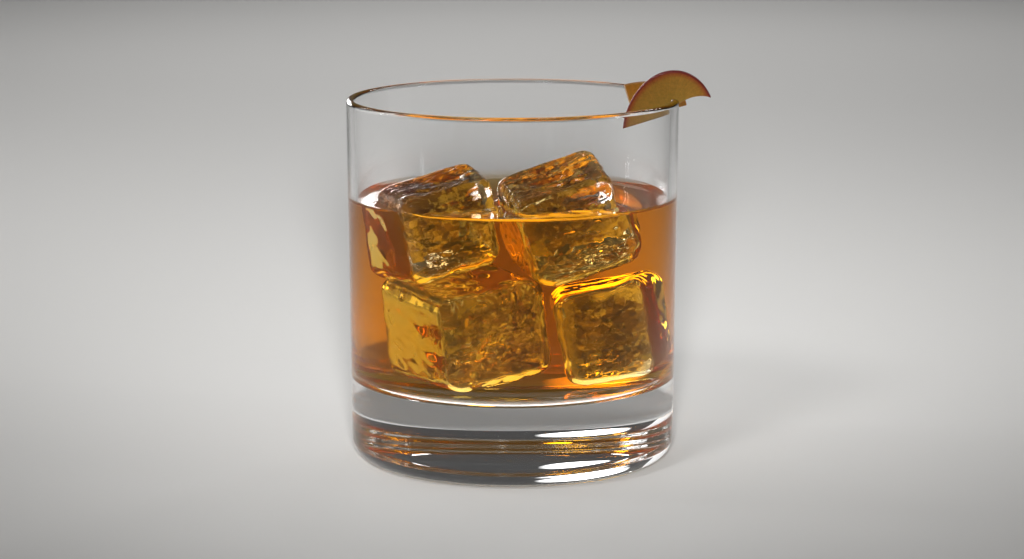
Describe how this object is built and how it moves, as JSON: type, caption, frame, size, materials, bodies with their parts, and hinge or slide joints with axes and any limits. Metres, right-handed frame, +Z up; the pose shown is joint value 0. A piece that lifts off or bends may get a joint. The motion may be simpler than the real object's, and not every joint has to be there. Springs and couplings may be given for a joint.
{
  "type": "bourbon cobbler in a tumbler",
  "caption": "Straight thick-based tumbler of amber spirit over large ice cubes, with fruit slices set on its rim.",
  "frame": {"origin": "centre of the tumbler's flat underside, on the surface that it stands on", "axes": "+Z up along the tumbler's axis, +X towards the fruit slices, -Y towards the viewer, where the ice lies"},
  "size_m": [0.0941, 0.086, 0.1019],
  "materials": {
    "clear_glass": "clear polished glass",
    "bourbon": "clear amber spirit",
    "ice": "wet clear ice, slightly melted",
    "fruit": "moist yellow flesh with a thin red skin"
  },
  "bodies": {
    "root": {"tumbler": "clear_glass", "bourbon": "bourbon", "ice_cube_left": "ice", "ice_cube_right": "ice", "fruit_slice_front": "fruit", "fruit_slice_rear": "fruit"}
  },
  "joints": []
}
